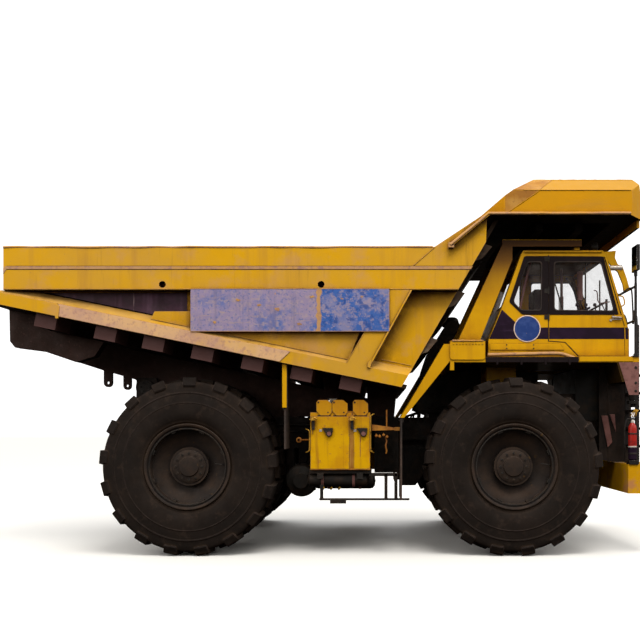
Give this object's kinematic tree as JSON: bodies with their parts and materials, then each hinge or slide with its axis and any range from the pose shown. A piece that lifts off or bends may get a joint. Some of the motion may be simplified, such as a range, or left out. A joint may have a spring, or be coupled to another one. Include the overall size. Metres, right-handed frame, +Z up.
{
  "type": "mining dump truck",
  "caption": "Rigid-frame mining dump truck with a tipping dump body and canopy, side cab, steered front wheels and twin rear wheels.",
  "frame": {"origin": "on the ground, under the centre of the truck's bounding box", "axes": "+X forwards, +Z up, the cab stands on the -Y side"},
  "size_m": [10.1, 5.4, 5.68],
  "materials": {
    "cab_paint": "semi-gloss yellow",
    "body_paint": "worn yellow",
    "blue_paint": "worn, scratched blue",
    "chassis_paint": "dirty dark paint",
    "axle_iron": "greasy",
    "machinery": "oily",
    "grille_dark": "matt",
    "rail_dark": "satin",
    "tyre": "dusty",
    "rim_paint": "dusty yellow",
    "glass": "clear, lightly tinted",
    "trim": "matt",
    "flap_rubber": "dusty",
    "lamp_lens": "ribbed",
    "hoist_steel": "polished",
    "strut_steel": "oily"
  },
  "bodies": {
    "chassis": {"frame": "chassis_paint", "bumper": "cab_paint", "rear_axle": "axle_iron", "struts": "strut_steel", "engine": "machinery", "powertrain": "machinery", "grille": "grille_dark", "deck": "cab_paint", "fenders": "cab_paint", "cab_shell": "cab_paint", "cab_glass": "glass", "cab_interior": "trim", "rops": "cab_paint", "handrails": "rail_dark", "ladders": "rail_dark", "valve_tank": "cab_paint", "fuel_tank": "cab_paint", "air_cleaners": "cab_paint", "lamps": "lamp_lens", "mud_flaps": "flap_rubber"},
    "cab_door": {"cab_door": "cab_paint", "door_glass": "glass"},
    "dump_body": {"body_floor": "body_paint", "body_sides": "body_paint", "upper_rails": "body_paint", "side_plates": "blue_paint", "body_front": "body_paint", "canopy": "body_paint", "body_rails": "body_paint", "rock_flaps": "flap_rubber"},
    "steer_right": {"knuckle_right": "axle_iron"},
    "steer_left": {"knuckle_left": "axle_iron"},
    "tie_rod": {"tie_rod": "axle_iron"},
    "wheel_front_right": {"tyre_front_right": "tyre", "rim_front_right": "rim_paint"},
    "wheel_front_left": {"tyre_front_left": "tyre", "rim_front_left": "rim_paint"},
    "wheels_rear_right": {"tyres_rear_right": "tyre", "rims_rear_right": "rim_paint"},
    "wheels_rear_left": {"tyres_rear_left": "tyre", "rims_rear_left": "rim_paint"},
    "hoist_barrel_right": {"hoist_barrels_right": "cab_paint"},
    "hoist_barrel_left": {"hoist_barrels_left": "cab_paint"},
    "hoist_stage_right": {"hoist_stage_right": "hoist_steel"},
    "hoist_stage_left": {"hoist_stage_left": "hoist_steel"},
    "hoist_rod_right": {"hoist_rod_right": "hoist_steel"},
    "hoist_rod_left": {"hoist_rod_left": "hoist_steel"}
  },
  "joints": [
    {"name": "body_tip", "type": "hinge", "parent": "chassis", "child": "dump_body", "pos_m": [-3.1, 0, 2.62], "axis": [0, -1, 0], "range_deg": [0, 48]},
    {"name": "steer_left_turn", "type": "hinge", "parent": "chassis", "child": "steer_left", "pos_m": [2.9, 1.5, 1.345], "axis": [0, 0, 1], "range_deg": [-39, 39]},
    {"name": "steer_right_turn", "type": "hinge", "parent": "chassis", "child": "steer_right", "pos_m": [2.9, -1.5, 1.345], "axis": [0, 0, 1], "range_deg": [-39, 39]},
    {"name": "tie_rod_slide", "type": "slide", "parent": "chassis", "child": "tie_rod", "axis": [0, -1, 0], "range_m": [-0.2203, 0.2203]},
    {"name": "wheel_front_left_spin", "type": "hinge", "parent": "steer_left", "child": "wheel_front_left", "pos_m": [2.9, 2.075, 1.345], "axis": [0, 1, 0], "continuous": true},
    {"name": "wheel_front_right_spin", "type": "hinge", "parent": "steer_right", "child": "wheel_front_right", "pos_m": [2.9, -2.075, 1.345], "axis": [0, 1, 0], "continuous": true},
    {"name": "wheels_rear_left_spin", "type": "hinge", "parent": "chassis", "child": "wheels_rear_left", "pos_m": [-2, 1.66, 1.345], "axis": [0, 1, 0], "continuous": true},
    {"name": "wheels_rear_right_spin", "type": "hinge", "parent": "chassis", "child": "wheels_rear_right", "pos_m": [-2, -1.66, 1.345], "axis": [0, 1, 0], "continuous": true},
    {"name": "cab_door_swing", "type": "hinge", "parent": "chassis", "child": "cab_door", "pos_m": [3.433, -2.3, 3.5], "axis": [0, 0, -1], "range_deg": [0, 90]},
    {"name": "hoist_right_lean", "type": "hinge", "parent": "chassis", "child": "hoist_barrel_right", "pos_m": [-0.35, -0.79, 1], "axis": [0, -1, 0], "range_deg": [0, 24.33]},
    {"name": "hoist_right_stage", "type": "slide", "parent": "hoist_barrel_right", "child": "hoist_stage_right", "axis": [0.2909, 0, 0.9568], "range_m": [0, 1.196]},
    {"name": "hoist_right_rod", "type": "slide", "parent": "hoist_stage_right", "child": "hoist_rod_right", "axis": [0.2909, 0, 0.9568], "range_m": [0, 1.196]},
    {"name": "hoist_left_lean", "type": "hinge", "parent": "chassis", "child": "hoist_barrel_left", "pos_m": [-0.35, 0.79, 1], "axis": [0, -1, 0], "range_deg": [0, 24.33]},
    {"name": "hoist_left_stage", "type": "slide", "parent": "hoist_barrel_left", "child": "hoist_stage_left", "axis": [0.2909, 0, 0.9568], "range_m": [0, 1.196]},
    {"name": "hoist_left_rod", "type": "slide", "parent": "hoist_stage_left", "child": "hoist_rod_left", "axis": [0.2909, 0, 0.9568], "range_m": [0, 1.196]}
  ],
  "couplings": [
    {"joint": "steer_right_turn", "follows": "steer_left_turn", "ratio": 1},
    {"joint": "tie_rod_slide", "follows": "steer_left_turn", "m_per_rad": 0.3236},
    {"joint": "hoist_right_lean", "follows": "body_tip", "ratio": 0.5058},
    {"joint": "hoist_right_stage", "follows": "body_tip", "m_per_rad": 1.4264},
    {"joint": "hoist_right_rod", "follows": "body_tip", "m_per_rad": 1.4264},
    {"joint": "hoist_left_lean", "follows": "body_tip", "ratio": 0.5058},
    {"joint": "hoist_left_stage", "follows": "body_tip", "m_per_rad": 1.4264},
    {"joint": "hoist_left_rod", "follows": "body_tip", "m_per_rad": 1.4264}
  ]
}
